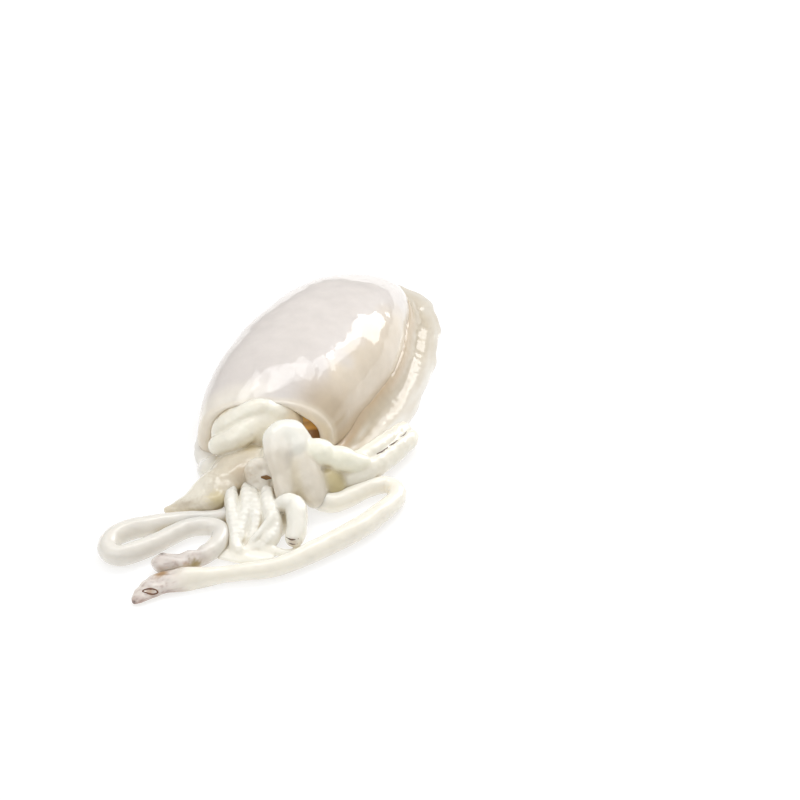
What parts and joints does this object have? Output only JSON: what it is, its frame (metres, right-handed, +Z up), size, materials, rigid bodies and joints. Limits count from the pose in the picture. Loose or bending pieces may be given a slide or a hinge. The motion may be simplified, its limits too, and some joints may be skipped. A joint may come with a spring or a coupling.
{
  "type": "raw cuttlefish",
  "caption": "Whole raw cuttlefish, skinned and cleaned, lying funnel side up: a plump white mantle with a fin skirt, and limp arms and long tentacles that spill from its mouth.",
  "frame": {"origin": "middle of the mantle's flat underside, on the surface that it lies on", "axes": "+Y from the head towards the tail, +Z up, +X to the side where the fin spreads widest"},
  "size_m": [0.1238, 0.2648, 0.0377],
  "materials": {
    "flesh": "wet, glossy, slightly translucent flesh"
  },
  "bodies": {
    "root": {"cuttlefish": "flesh"}
  },
  "joints": []
}
